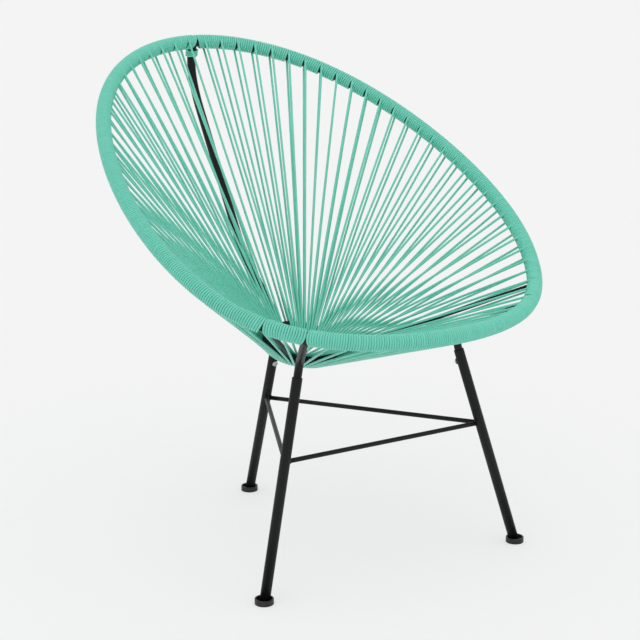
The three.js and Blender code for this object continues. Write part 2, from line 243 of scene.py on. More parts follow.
# %% [markdown]
# ## The legs' lines
# Each leg is a straight tube. It could be given by its length and two angles, but feet and knees
# are what a photograph shows. So its axis runs from its foot on the floor to its knee, a point near
# the bend of the bar above it. Both are given by their distance to the side and their distance
# behind the hoop's front, and a place on the axis is then given by its height.

# %% Leg lines
KNEE_HEIGHT = 370 * MM
FRONT_FOOT = (261 * MM, 146 * MM)
FRONT_KNEE = (162 * MM, 197 * MM)
FRONT_LEG_TOP = 359 * MM
REAR_FOOT = (0.0, 639 * MM)
REAR_KNEE = (0.0, 520 * MM)
REAR_LEG_TOP = 300 * MM


def leg_line(sign, foot, knee, top):
    """A leg's foot, knee, top height and direction. The sign is -1 for the left."""
    foot = np.array([sign * foot[0], foot[1] - HALF_DEPTH, 0.0])
    knee = np.array([sign * knee[0], knee[1] - HALF_DEPTH, KNEE_HEIGHT])
    return {"foot": foot, "knee": knee, "top": top, "along": unit(knee - foot)}


def leg_point(leg, height):
    """The point of a leg's axis at a height: the foot plus a share of the way to the knee."""
    return leg["foot"] + (leg["knee"] - leg["foot"]) * height / KNEE_HEIGHT


legs = {
    "front_left": leg_line(-1, FRONT_FOOT, FRONT_KNEE, FRONT_LEG_TOP),
    "front_right": leg_line(1, FRONT_FOOT, FRONT_KNEE, FRONT_LEG_TOP),
    "rear": leg_line(1, REAR_FOOT, REAR_KNEE, REAR_LEG_TOP),
}
for side, leg in legs.items():
    print(side, "leg leans", round(math.degrees(math.acos(leg["along"][2])), 1), "degrees")

# %% [markdown]
# ## The ring's line
# All pairs of cord end at a small ring, tilted so that its front is low and its rear is high. It
# could be given a centre of its own, but it sits against the bar that comes down the back, so its
# centre follows from that bar and from its own size. The pairs leave a wider space for the bar.

# %% Ring line
RING_RADIUS = 62 * MM
RING_HEIGHT = 337 * MM
RING_TILT = math.radians(18.6)
SPINE_EXTRA = math.radians(15)
RING_STEP = (2 * np.pi - SPINE_EXTRA) / GAPS

spine_bend = leg_point(legs["rear"], RING_HEIGHT + RING_RADIUS * math.sin(RING_TILT))
ring_rear_y = spine_bend[1] - SPINE_RADIUS - CLEARANCE - RING_BAR_RADIUS
RING_CENTRE = np.array([0.0, ring_rear_y - RING_RADIUS * math.cos(RING_TILT), RING_HEIGHT])


def ring_at(angle):
    """The ring's point and direction at an angle from the front: a circle in a tilted plane."""
    angle = np.asarray(angle, float)
    sin, cos = np.sin(angle), np.cos(angle)
    outward = np.stack([sin, -cos * math.cos(RING_TILT), -cos * math.sin(RING_TILT)], axis=-1)
    along = np.stack([cos, sin * math.cos(RING_TILT), sin * math.sin(RING_TILT)], axis=-1)
    return RING_CENTRE + RING_RADIUS * outward, along


def ring_angle(bays):
    """Even steps round the ring, with one wider space where the spine meets it."""
    bays = np.asarray(bays, float)
    return RING_STEP * np.where(bays > GAPS / 2, bays - GAPS, bays)


print("ring centre", [round(float(v), 4) for v in RING_CENTRE])

# %% [markdown]
# ## Materials
# Each finish starts from what the real one is and how its surface was made. Photographs of the
# finishes could be used, but noise at real sizes needs no files and stays sharp from close by. All
# four are built alike: noise moves the colour and the shine, and on all but the zinc it also makes
# a fine relief.

# %% Material helpers
def linear(hex_value):
    """The linear colour of an sRGB hex value."""
    channels = [int(hex_value[i:i + 2], 16) / 255 for i in (1, 3, 5)]
    curve = [c / 12.92 if c <= 0.04045 else ((c + 0.055) / 1.055) ** 2.4 for c in channels]
    return (*curve, 1.0)


def set_node(tree, node, settings=None, links=None):
    """Sets a node's properties and sockets by name, and links sockets to other outputs. 'stops'
    are the places and hex colours of a colour ramp."""
    for name, value in (settings or {}).items():
        if name == "stops":
            for element, (place, colour) in zip(node.color_ramp.elements, value):
                element.position, element.color = place, linear(colour)
        elif name in node.inputs:
            node.inputs[name].default_value = value
        else:
            setattr(node, name, value)
    for name, output in (links or {}).items():
        tree.links.new(output, node.inputs[name])
    return node


def add_node(tree, kind, settings=None, links=None):
    """Adds a node with its settings and links."""
    return set_node(tree, tree.nodes.new(kind), settings, links)


def new_material(name):
    """An empty material with its surface shader."""
    material = bpy.data.materials.new(name)
    material.use_nodes = True
    tree = material.node_tree
    return material, tree, tree.nodes["Principled BSDF"]


def build_surface(tree, surface, colour, shine, relief=None, settings=None):
    """Feeds the shader from noises. 'colour' is a noise and the stops of its ramp, 'shine' a noise
    with the least and greatest roughness, and 'relief' a noise with a strength and a depth."""
    ramp = add_node(tree, "ShaderNodeValToRGB", {"stops": colour[1]}, {"Fac": colour[0]})
    rough = add_node(tree, "ShaderNodeMapRange", {"To Min": shine[1], "To Max": shine[2]},
                     {"Value": shine[0]})
    links = {"Base Color": ramp.outputs["Color"], "Roughness": rough.outputs["Result"]}
    if relief:
        bump = add_node(tree, "ShaderNodeBump", {"Strength": relief[1], "Distance": relief[2]},
                        {"Height": relief[0]})
        links["Normal"] = bump.outputs["Normal"]
    set_node(tree, surface, settings, links)


# %% [markdown]
# ## Powder-coated steel
# The frame is mild steel with a black satin powder coat. The powder melts into a skin with a faint
# orange peel, which gives the eye a soft, broad shine with slightly broken edges. Plain black with
# an even shine would look like plastic, so the peel is a fine bump, and slow clouds vary the shine.

# %% Powder coat
PEEL_SIZE, PEEL_DEPTH = 2.5 * MM, 0.06 * MM
CLOUD_SIZE = 40 * MM


def powder_coat():
    """Satin black powder coat, with its orange peel and a faint clouding of its shine."""
    material, tree, surface = new_material("powder_coated_steel")
    vector = {"Vector": add_node(tree, "ShaderNodeTexCoord").outputs["Object"]}
    peel = add_node(tree, "ShaderNodeTexNoise", {"Scale": 1 / PEEL_SIZE, "Detail": 2.0}, vector)
    cloud = add_node(tree, "ShaderNodeTexNoise", {"Scale": 1 / CLOUD_SIZE, "Detail": 3.0}, vector)
    build_surface(
        tree, surface,
        colour=(cloud.outputs["Fac"], [(0.3, "#0B0B0C"), (0.7, "#111112")]),
        shine=(cloud.outputs["Fac"], 0.40, 0.52),
        relief=(peel.outputs["Fac"], 0.25, PEEL_DEPTH),
        settings={"Specular IOR Level": 0.25})
    return material


STEEL = powder_coat()
print("made", STEEL.name)

# %% [markdown]
# ## Extruded PVC
# The cord is flexible PVC pressed through a round die. That leaves a smooth, slightly waxy skin
# with fine drag lines along it, and the light goes a little way in before it comes back out, which
# gives the eye a soft mint without hard edges. A pattern in space would cut across the cord where
# it winds, so the noises follow the cord's own map: metres along it and metres round it.

# %% PVC
DRIFT_ALONG, DRIFT_ROUND = 90 * MM, 30 * MM
DRAG_ALONG, DRAG_ROUND, DRAG_DEPTH = 30 * MM, 0.5 * MM, 0.03 * MM


def pvc_cord():
    """Mint PVC: a slow drift of colour along the cord, and drag lines that run with it."""
    material, tree, surface = new_material("extruded_pvc_cord")
    vector = {"Vector": add_node(tree, "ShaderNodeUVMap", {"uv_map": "surface"}).outputs["UV"]}
    drift = add_node(tree, "ShaderNodeMapping",
                     {"Scale": (1 / DRIFT_ALONG, 1 / DRIFT_ROUND, 1.0)}, vector)
    drag = add_node(tree, "ShaderNodeMapping",
                    {"Scale": (1 / DRAG_ALONG, 1 / DRAG_ROUND, 1.0)}, vector)
    slow = add_node(tree, "ShaderNodeTexNoise", {"Scale": 1.0, "Detail": 3.0},
                    {"Vector": drift.outputs["Vector"]})
    fine = add_node(tree, "ShaderNodeTexNoise", {"Scale": 1.0, "Detail": 1.0},
                    {"Vector": drag.outputs["Vector"]})
    build_surface(
        tree, surface,
        colour=(slow.outputs["Fac"], [(0.3, "#66CBB4"), (0.7, "#78D6C1")]),
        shine=(fine.outputs["Fac"], 0.30, 0.44),
        relief=(fine.outputs["Fac"], 0.15, DRAG_DEPTH),
        settings={
            "IOR": 1.53,
            "Subsurface Weight": 0.25,
            "Subsurface Radius": (0.6, 1.0, 0.8),
            "Subsurface Scale": 1.2 * MM,
        })
    return material


PVC = pvc_cord()
print("made", PVC.name)

# %% [markdown]
# ## Moulded polyethylene
# The feet are moulded in black polyethylene. The mould was grained by spark erosion, and the floor
# scuffs the foot, so the eye sees a dull black with soft lighter patches. The grain could be real
# relief, but it is far too fine to be worth its faces, so it is a bump.

# %% Polyethylene
GRAIN_SIZE, GRAIN_DEPTH = 0.8 * MM, 0.04 * MM
SCUFF_SIZE = 9 * MM


def moulded_foot():
    """Black moulded polyethylene with a fine grain and scuffs."""
    material, tree, surface = new_material("moulded_polyethylene")
    vector = {"Vector": add_node(tree, "ShaderNodeTexCoord").outputs["Object"]}
    grain = add_node(tree, "ShaderNodeTexNoise", {"Scale": 1 / GRAIN_SIZE, "Detail": 3.0}, vector)
    scuff = add_node(tree, "ShaderNodeTexNoise", {"Scale": 1 / SCUFF_SIZE, "Detail": 4.0}, vector)
    build_surface(
        tree, surface,
        colour=(scuff.outputs["Fac"], [(0.35, "#0F0F10"), (0.75, "#1D1D1E")]),
        shine=(scuff.outputs["Fac"], 0.28, 0.46),
        relief=(grain.outputs["Fac"], 0.3, GRAIN_DEPTH))
    return material


POLYETHYLENE = moulded_foot()
print("made", POLYETHYLENE.name)

# %% [markdown]
# ## Bright zinc plate
# The screws are steel with a bright coat of zinc. Its crystals differ a little, which gives the eye
# a pale metal with a slight mottle. It is smooth, so it needs no relief, and a full metallic
# setting lets it show its surroundings.

# %% Zinc plate
MOTTLE_SIZE = 3 * MM


def zinc_plate():
    """Bright zinc plate on steel, with its mottle."""
    material, tree, surface = new_material("bright_zinc_plate")
    vector = {"Vector": add_node(tree, "ShaderNodeTexCoord").outputs["Object"]}
    mottle = add_node(tree, "ShaderNodeTexNoise", {"Scale": 1 / MOTTLE_SIZE, "Detail": 3.0}, vector)
    build_surface(
        tree, surface,
        colour=(mottle.outputs["Fac"], [(0.3, "#A9ABAD"), (0.7, "#C2C4C6")]),
        shine=(mottle.outputs["Fac"], 0.22, 0.36),
        settings={"Metallic": 1.0})
    return material


ZINC = zinc_plate()
print("made", ZINC.name)

# %% [markdown]
# ## Finishing a piece
# Nothing on the chair moves, so every piece rides on its one body. Most pieces stand for a part of
# the frame, which then hides. The few that stand for none, such as the welds, are only added. Each
# piece could say all this for itself, but one function can't forget any of it.

# %% Finish a piece
def finish_piece(piece, material, slot, *nodes):
    """Gives a piece its material and its body, and hides the frame nodes that it stands for. The
    slot is not used.
    """
    piece.data.materials.append(material)
    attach(piece, "root")
    if nodes:
        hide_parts(*nodes)
    return piece


# %% [markdown]
# ## The hoop and the ring
# Both are round bars bent into closed loops, so each is one tube whose path meets itself. A torus
# could be pulled into shape instead, but the formulas already give the exact lines. Little of the
# hoop shows, only slivers between the windings, but those dark slivers give the rim its rhythm.

# %% Hoop tube and base ring
HOOP_POINTS, HOOP_SIDES = 360, 20
RING_POINTS, BAR_SIDES = 120, 24


def closed_bar(name, path, radius, sides, node):
    """A round steel bar along a closed path."""
    piece = mesh_from_grid(name, tube_grid(path, UP, radius, sides, loop=True), loop=True)
    once_round = length_run(np.concatenate([path, path[:1]]))[-1]
    print(name, "length", round(float(once_round), 3), "m")
    return finish_piece(piece, STEEL, "black_steel", node)


hoop_path = hoop_line(round_angles(HOOP_POINTS))
ring_path = ring_at(round_angles(RING_POINTS))[0]
closed_bar("hoop_tube_smooth", hoop_path, HOOP_RADIUS, HOOP_SIDES, "hoop_tube")
closed_bar("base_ring_smooth", ring_path, RING_BAR_RADIUS, BAR_SIDES, "base_ring")

# %% [markdown]
# ## The spine
# One bent bar, the spine, leaves the hoop to the rear, runs down behind the cords, turns in to the
# ring and bends there into the rear leg. One free curve could follow it, but a bent bar is straight
# between its bends. So it is a chain of straight and curved stretches, joined end to end and then
# swept. A thinner spigot at its lower end goes down into the leg's tube.

# %% Bar helpers
def chain(*stretches):
    """Stretches of points joined end to end, with the doubled joints left out."""
    return np.concatenate([stretches[0]] + [stretch[1:] for stretch in stretches[1:]])


def toward_point(start, end, distance):
    """The place at a distance from the start on the way to the end."""
    return start + distance * unit(end - start)


def swept_bar(name, path, side, radius, *nodes):
    """A round steel bar along a path."""
    piece = mesh_from_grid(name, tube_grid(path, np.array(side), radius, BAR_SIDES))
    print(name, "length", round(float(length_run(path)[-1]), 3), "m")
    return finish_piece(piece, STEEL, "black_steel", *nodes)


# %% Spine
TOP_CORNER_BACK, TOP_CORNER_DOWN, TOP_BEND = 28 * MM, 47 * MM, 95 * MM
LOW_CORNER_BACK, LOW_CORNER_UP, LOW_BEND = 132 * MM, 111 * MM, 42 * MM
RING_BEND = 22 * MM
SOCKET_DEPTH = 42 * MM
SPIGOT_OVERLAP = 2 * MM

rear = legs["rear"]
rear_top = leg_point(rear, rear["top"])
hoop_back = hoop_line(np.array(np.pi))
top_corner = hoop_back + [0, TOP_CORNER_BACK, -TOP_CORNER_DOWN]
low_corner = spine_bend + [0, LOW_CORNER_BACK, LOW_CORNER_UP]
top_end = toward_point(top_corner, low_corner, TOP_BEND)
low_start = toward_point(low_corner, top_corner, LOW_BEND)
low_end = toward_point(low_corner, spine_bend, LOW_BEND)
bend_top = toward_point(spine_bend, low_corner, RING_BEND)
bend_low = toward_point(spine_bend, rear["foot"], RING_BEND)
spine_path = chain(
    bezier([hoop_back, top_corner, top_end], count=30),
    line(top_end, low_start, count=12),
    bezier([low_start, low_corner, low_end], count=20),
    line(low_end, bend_top, count=8),
    bezier([bend_top, spine_bend, bend_low], count=16),
    line(bend_low, rear_top + CLEARANCE * rear["along"], count=4),
)
swept_bar("rear_spine_smooth", spine_path, RIGHT, SPINE_RADIUS, "rear_spine")
spigot_top = rear_top + SPIGOT_OVERLAP * rear["along"]
spigot_path = line(spigot_top, leg_point(rear, rear["top"] - SOCKET_DEPTH), count=3)
swept_bar("rear_spigot", spigot_path, RIGHT, STUB_RADIUS)

# %% [markdown]
# ## Stubs and struts
# At the front, a short stub runs straight from the hoop to a corner above each leg, where a bend
# turns it down into the leg's tube. Behind it, a thin strut ties the hoop to the ring, between two
# pairs of cord. Each could be a cylinder set between two points, but swept paths meet the hoop and
# bend as the spine's does. The direction in which each leaves the hoop is kept, because the cord
# has to make way for it. A strut's is turned halfway to straight down, so that the turns part on
# the hoop's lower side.

# %% Stubs and struts
SIDES = (("left", -1), ("right", 1))
STRUT_BAY = 9.5
STUB_CORNER_HEIGHT = 384 * MM
STUB_BEND = 24 * MM
STUB_SIDE = [0.7, -0.7, 0.3]

stub_reach = {}
strut_reach = {}
for side, sign in SIDES:
    leg = legs["front_" + side]
    start = hoop_at(length_to(sign * STUB_BAY))[0]
    corner = leg_point(leg, STUB_CORNER_HEIGHT)
    stub_reach[side] = unit(corner - start)
    before = corner - STUB_BEND * stub_reach[side]
    after = corner - STUB_BEND * leg["along"]
    stub_path = chain(
        line(start, before, count=6),
        bezier([before, corner, after], count=16),
        line(after, leg_point(leg, leg["top"] - SOCKET_DEPTH), count=4),
    )
    name = "front_stub_" + side
    swept_bar(name + "_smooth", stub_path, STUB_SIDE, STUB_RADIUS, name)

    start = hoop_at(length_to(sign * STRUT_BAY))[0]
    end = ring_at(ring_angle(sign * STRUT_BAY))[0]
    strut_reach[side] = unit(unit(end - start) - UP)
    name = "front_strut_" + side
    swept_bar(name + "_smooth", line(start, end, count=8), UP, STRUT_RADIUS, name)

# %% [markdown]
# ## The leg tubes
# A leg is a tube that slips over its stub, so its open top shows a thin wall round the stub, and
# its lower end is cut level with the floor. A cylinder with a thickness could do for the wall, but
# its edges would be sharp and its lower end square. So the wall's profile, with rounded edges, is
# turned round the leg's axis, and the points at its lower end slide along the leg to one level.

# %% Turned profiles
def turned_grid(profile, centre, axis, sides):
    """A profile of radius and height, turned round an axis through a centre: the centre, plus the
    height along the axis, plus the radius in the direction of each angle. The angles start from a
    direction that lies along no axis of the chair."""
    side = across(np.array([1.0, 0.2, 0.1]), axis)
    other = np.cross(axis, side)
    angle = round_angles(sides)[None, :, None]
    radius = profile[:, 0][:, None, None]
    height = profile[:, 1][:, None, None]
    return centre + height * axis + radius * turned(angle, side, other)


def rounded(profile, radius, steps=4):
    """The profile with each inner corner replaced by a short curve that starts and ends near it,
    at the radius or at less than half of a neighbouring side."""
    profile = np.asarray(profile, float)
    most = 0.45
    parts = [profile[:1]]
    for before, corner, after in zip(profile[:-2], profile[1:-1], profile[2:]):
        nearest = min(np.linalg.norm(before - corner) * most, np.linalg.norm(after - corner) * most)
        reach = min(radius, nearest)
        start = corner + unit(before - corner) * reach
        end = corner + unit(after - corner) * reach
        parts.append(bezier([start, corner, end], steps))
    return np.concatenate(parts + [profile[-1:]])


# %% Leg tubes
LEG_BORE = 7.3 * MM
LEG_EDGE = 0.5 * MM
LEG_SIDES = 32
# Inside the bore, one row of points lies this far from each end.
BORE_TOP_ROW = 45 * MM
BORE_LOW_ROW = 30 * MM
# The rows nearer to the lower end than this slide to the floor of the foot's cup.
LEVEL_ROWS = 5 * MM
FOOT_FLOOR = 4 * MM

for side, leg in legs.items():
    length = np.linalg.norm(leg_point(leg, leg["top"]) - leg["foot"])
    profile = rounded([
        [LEG_BORE, length - BORE_TOP_ROW],
        [LEG_BORE, length],
        [LEG_RADIUS, length],
        [LEG_RADIUS, 0.0],
        [LEG_BORE, 0.0],
        [LEG_BORE, BORE_LOW_ROW],
    ], LEG_EDGE)
    grid = turned_grid(profile, leg["foot"], leg["along"], LEG_SIDES)
    low = profile[:, 1] < LEVEL_ROWS
    drop = (grid[low][..., 2] - FOOT_FLOOR - CLEARANCE) / leg["along"][2]
    grid[low] = grid[low] - drop[..., None] * leg["along"]
    piece = mesh_from_grid("leg_" + side + "_smooth", grid, loop=True)
    finish_piece(piece, STEEL, "black_steel", "leg_" + side)
    print("leg", side, "length", round(float(length), 4), "m")

# %% [markdown]
# ## The feet
# Each leg stands in a shallow round cup of moulded plastic, which lies flat on the floor however
# the leg leans. It could be a cylinder with its top pressed in, but a moulded part has soft edges
# and a wall that thickens downwards, so it is a profile turned round an upright axis.

# %% Feet
FOOT_RADIUS = 16 * MM
FOOT_HEIGHT = 10 * MM
FOOT_CHAMFER = 0.6 * MM
FOOT_SOFTNESS = 1.2 * MM
FOOT_SIDES = 48
CUP_WALL_TOP, CUP_WALL_LOW = 2.6 * MM, 3.2 * MM
# A turned surface ends in a circle this small, closed by one tiny face.
POLE = 0.02 * MM

for side, leg in legs.items():
    profile = rounded([
        [POLE, 0.0],
        [FOOT_RADIUS - FOOT_CHAMFER, 0.0],
        [FOOT_RADIUS, FOOT_CHAMFER],
        [FOOT_RADIUS, FOOT_HEIGHT],
        [FOOT_RADIUS - CUP_WALL_TOP, FOOT_HEIGHT],
        [FOOT_RADIUS - CUP_WALL_LOW, FOOT_FLOOR],
        [POLE, FOOT_FLOOR],
    ], FOOT_SOFTNESS, steps=6)
    grid = turned_grid(profile, leg["foot"], UP, FOOT_SIDES)
    cup = mesh_from_grid("foot_" + side + "_cup", grid)
    finish_piece(cup, POLYETHYLENE, "black_plastic", "foot_" + side)
    print("foot", side, "at", [round(float(v), 4) for v in leg["foot"]])

# %% [markdown]
# ## The stretchers and their welds
# Three thin rods tie the legs together, each welded on at its ends. A plain ring could stand for a
# weld, but a rod meets a tube on a saddle-shaped line, where the tube's surface is as far from the
# tube's axis as its radius. That line is found for every side of the rod at once, and a small bead
# of metal follows it, a little uneven, as a hand-made weld is.

# %% Saddles and welds
WELD_RADIUS = 1.2 * MM
WELD_OFFSET = 0.3 * MM
WELD_POINTS, WELD_SIDES = 48, 10
WELD_RIPPLES = ((0.16, 11), (0.1, 5))


def saddle(origin, direction, radius, tube_point, tube_axis, tube_radius):
    """For each side of a rod, the point along it that is the tube's radius away from the tube's
    axis: the larger root of the quadratic equation of that distance. The sides start from a
    direction that lies along no rod."""
    side = across(np.array([0.1, 0.2, 1.0]), direction)
    other = np.cross(direction, side)
    rim = origin + radius * turned(round_angles(WELD_POINTS)[:, None], side, other)
    start = rim - tube_point
    start = start - (start @ tube_axis)[:, None] * tube_axis
    run = direction - (direction @ tube_axis) * tube_axis
    a = run @ run
    b = start @ run
    c = np.sum(start * start, axis=1) - tube_radius ** 2
    distance = (-b + np.sqrt(b * b - a * c)) / a
    return rim + distance[:, None] * direction


def weld_bead(name, curve, seed):
    """A thin tube along a closed line, whose radius swells and shrinks in two sets of ripples."""
    turn = round_angles(len(curve))
    rng = np.random.default_rng(seed)
    swell = 1.0
    for height, ripples in WELD_RIPPLES:
        swell = swell + height * np.sin(ripples * turn + rng.uniform(0, 6))
    outward = curve - curve.mean(axis=0)
    grid = tube_grid(curve, outward, WELD_RADIUS * swell, WELD_SIDES, loop=True)
    return finish_piece(mesh_from_grid(name, grid, loop=True), STEEL, "black_steel")


# %% Stretchers
ROD_SIDES = 20
ROD_BITE = 1 * MM
rod_height = {"front_left": 225 * MM, "front_right": 225 * MM, "rear": 204 * MM}
stretchers = {
    "front": ("front_left", "front_right"),
    "left": ("front_left", "rear"),
    "right": ("front_right", "rear"),
}
for number, (name, ends) in enumerate(stretchers.items()):
    start, end = (leg_point(legs[side], rod_height[side]) for side in ends)
    direction = unit(end - start)
    reach = LEG_RADIUS - ROD_BITE
    path = line(start + reach * direction, end - reach * direction, count=12)
    grid = tube_grid(path, UP, ROD_RADIUS, ROD_SIDES)
    rod = mesh_from_grid("stretcher_" + name + "_smooth", grid)
    finish_piece(rod, STEEL, "black_steel", "stretcher_" + name)
    for side, point, way in ((ends[0], start, direction), (ends[1], end, -direction)):
        leg = legs[side]
        curve = saddle(point, way, ROD_RADIUS + WELD_OFFSET, leg["foot"], leg["along"], LEG_RADIUS)
        weld_bead("weld_" + name + "_" + side, curve, number)
    print("stretcher", name, "length", round(float(np.linalg.norm(end - start)), 4), "m")

# %% [markdown]
# ## The leg screws
# Each leg is held on its stub by one small screw on the side that faces the middle of the chair.
# Its head is a dome with a six-sided socket. The socket could be cut out with a boolean, but it is
# simpler to turn the whole profile and let the socket's radius grow towards its six corners.

# %% Button-head screws
SCREW_BELOW_TOP = 20 * MM
SHANK_RADIUS, SHANK_LENGTH = 3 * MM, 8 * MM
HEAD_RADIUS, HEAD_EDGE, HEAD_HEIGHT = 5.5 * MM, 1.3 * MM, 3 * MM
CROWN_RADIUS = 4 * MM
HEAD_SOFTNESS = 0.8 * MM
HEAD_SIDES = 48
SOCKET_MOUTH, SOCKET_RADIUS = 2.2 * MM, 2 * MM
# The heights of the socket's rows above the face that the head sits on.
SOCKET_LIP, SOCKET_FLOOR, SOCKET_POINT = 2.8 * MM, 1 * MM, 0.8 * MM
SIXTH = np.pi / 3

seat = LEG_RADIUS + CLEARANCE
dome = rounded([
    [SHANK_RADIUS, seat - SHANK_LENGTH],
    [SHANK_RADIUS, seat],
    [HEAD_RADIUS, seat],
    [HEAD_RADIUS, seat + HEAD_EDGE],
    [CROWN_RADIUS, seat + HEAD_HEIGHT],
    [SOCKET_MOUTH, seat + HEAD_HEIGHT],
], HEAD_SOFTNESS)
socket = np.array([
    [SOCKET_RADIUS, seat + SOCKET_LIP],
    [SOCKET_RADIUS, seat + SOCKET_FLOOR],
    [POLE, seat + SOCKET_POINT],
])
socket_wall = slice(len(dome), len(dome) + 2)
to_corner = (round_angles(HEAD_SIDES) + SIXTH / 2) % SIXTH - SIXTH / 2
six_sided = 1 / np.cos(to_corner)

for side, leg in legs.items():
    centre = leg_point(leg, leg["top"] - SCREW_BELOW_TOP)
    inward = np.array([-centre[0], RING_CENTRE[1] - centre[1], 0.0])
    inward = across(inward, leg["along"])
    grid = turned_grid(np.concatenate([dome, socket]), centre, inward, HEAD_SIDES)
    wall = grid[socket_wall]
    middle = np.sum((wall - centre) * inward, axis=-1, keepdims=True) * inward + centre
    grid[socket_wall] = middle + (wall - middle) * six_sided[None, :, None]
    screw = mesh_from_grid("leg_screw_" + side + "_dome", grid)
    finish_piece(screw, ZINC, "zinc", "leg_screw_" + side)
    print("screw", side, "height", round(float(centre[2]), 4), "m")

# %% [markdown]
# ## Turns round a bar
# The seat is four lengths of one cord, each laced without a break. Between two gaps the cord takes
# seven and a half turns round the hoop. The turns lie side by side on the hoop's outer face, and
# only on its inner side does each gap leave a narrow slit, because one crossing is missing there.
# A coil could be made once and repeated, but where a bar leaves the hoop the turns have to make
# way. So each point's place along the hoop is worked out, and then moved to pass beside the bars.

# %% Turns round a bar
TURNS = 7.5
TURN_STEPS = 14
HOOP_TURN = HOOP_RADIUS + CORD_RADIUS
RING_TURN = RING_BAR_RADIUS + CORD_RADIUS
WAY_REACH = 1.5 * BAY
WAY_ROOM = 1 * MM

leaving_bars = [(float(length_to(GAPS / 2)), unit(top_corner - hoop_back), SPINE_RADIUS)]
for side, sign in SIDES:
    leaving_bars += [
        (float(length_to(sign * STUB_BAY)), stub_reach[side], STUB_RADIUS),
        (float(length_to(sign * STRUT_BAY)), strut_reach[side], STRUT_RADIUS),
    ]


def wrap_frame(point, along, target):
    """Square to the bar: 'toward' points to the target, and 'inside' up into the bowl."""
    toward = across(target - point, along)
    inside = np.cross(along, toward)
    inside = np.where(inside[..., 2:] < 0, -inside, inside)
    return toward, inside


def on_turn(point, toward, inside, angle, radius):
    """A place round a bar: at angle 0 on its inside, and past its far side at a quarter turn."""
    away = turned(angle, inside, -toward)
    return point + radius * away, away


def make_way(first, last, angle, toward, inside):
    """How far each place moves along the hoop to pass beside the bars that leave it. A turn crosses
    a bar's side at one angle. If that crossing lies before the bar, the turn moves back, and
    otherwise forward. The move fades with the distance from the bar, and is nought half a turn
    away from it."""
    move = np.zeros(toward.shape[:-1])
    for place, reach, radius in leaving_bars:
        crossing = np.arctan2(-(toward @ reach), inside @ reach)
        crossing = crossing + 2 * np.pi * np.round((angle - crossing) / (2 * np.pi))
        share = np.clip(1 - crossing / (2 * np.pi * TURNS), 0, 1)
        distance = first + (last - first) * share - place
        distance = (distance + HOOP_LENGTH / 2) % HOOP_LENGTH - HOOP_LENGTH / 2
        fade = np.clip(1 - np.abs(distance) / WAY_REACH, 0, 1) * (1 + np.cos(angle - crossing)) / 2
        move += np.where(distance < 0, -1, 1) * (radius + CORD_RADIUS + WAY_ROOM) * fade
    return move


print("bars that leave the hoop:", len(leaving_bars))

# %% [markdown]
# ## The cord's path
# After its turns the cord leaves the hoop's inner side, runs straight to the ring, goes round it
# and comes back beneath itself to the underside of the hoop, where the next turns start. A pair
# could be modelled once and copied, but no two are alike here. So the path is built for all pairs
# of one length together: a row for each pair, and along the row the turns, the strand down, the
# turn round the ring and the strand back. With each point goes the direction away from the bar, so
# that the tube never twists. Each pair sits a hair out of place on the ring, as laced ones do.

# %% Cord path
PAIRS_PER_CORD = 19
PAIR_HALF_SPACING = 1.08 * MM
HALF_TURN_POINTS = 9
STRAND_POINTS = 7
UNEVENNESS = 0.4 * MM / RING_RADIUS
SCATTER = 2.4


def hoop_turns(middle, ring_before, ring_after, share):
    """The turns between the pair before each place and the pair at it, at shares of the way."""
    first = (length_to(middle - 1) + PAIR_HALF_SPACING)[:, None]
    last = (length_to(middle) - PAIR_HALF_SPACING)[:, None]
    length = first + (last - first) * share
    angle = 2 * np.pi * TURNS * (1 - share)
    target = ring_before[:, None] + (ring_after - ring_before)[:, None] * share[:, None]
    point, along = hoop_at(length)
    toward, inside = wrap_frame(point, along, target)
    point, along = hoop_at(length + make_way(first, last, angle, toward, inside))
    toward, inside = wrap_frame(point, along, target)
    return on_turn(point, toward, inside, angle[:, None], HOOP_TURN)


def strand(start, end, start_away, end_away):
    """Straight from one bar to the other, without its two end points."""
    share = np.linspace(0, 1, STRAND_POINTS + 2)[1:-1, None]
    points = start[:, None] * (1 - share) + end[:, None] * share
    away = start_away[:, None] * (1 - share) + end_away[:, None] * share
    return points, away


def cord_path(number):
    """The points of one length of cord, and the direction away from the bars at each."""
    pair = number * PAIRS_PER_CORD + np.arange(-1, PAIRS_PER_CORD + 1)
    middle = pair + 0.5
    nudge = UNEVENNESS * np.sin(SCATTER * (pair % GAPS) ** 2)
    ring_point, ring_along = ring_at(ring_angle(middle % GAPS) + nudge)
    hoop_point = hoop_at(length_to(middle))[0]
    ring_toward, ring_inside = wrap_frame(ring_point, ring_along, hoop_point)
    angle = np.linspace(0, np.pi, HALF_TURN_POINTS)[:, None]
    round_ring, round_away = on_turn(
        ring_point[:, None], ring_toward[:, None], ring_inside[:, None], angle, RING_TURN)
    round_ring, round_away = round_ring[1:-1], round_away[1:-1]

    share = np.linspace(0, 1, round(TURN_STEPS * TURNS) + 1)
    turns, turns_away = hoop_turns(middle[1:-1], ring_point[:-2], ring_point[1:-1], share)
    back, back_away = hoop_turns(middle[2:], ring_point[1:-1], ring_point[2:], np.zeros(1))
    back, back_away = back[:, 0], back_away[:, 0]

    down, down_away = strand(turns[:, -1], round_ring[:, 0], turns_away[:, -1], round_away[:, 0])
    up, up_away = strand(round_ring[:, -1], back, round_away[:, -1], back_away)
    points = np.concatenate([turns, down, round_ring, up], axis=1).reshape(-1, 3)
    away = np.concatenate([turns_away, down_away, round_away, up_away], axis=1).reshape(-1, 3)
    return np.concatenate([points, back[-1:]]), np.concatenate([away, back_away[-1:]])


# %% [markdown]
# ## The four lengths of cord
# Each length is one tube along its path. A bevelled curve would be shorter to write, but it has no
# map for the drag lines, so the tube's grid carries one, in metres along the cord and round it. The
# cord is thin and there is much of it, so eight sides are enough.

# %% Cord lengths
CORD_SIDES = 8


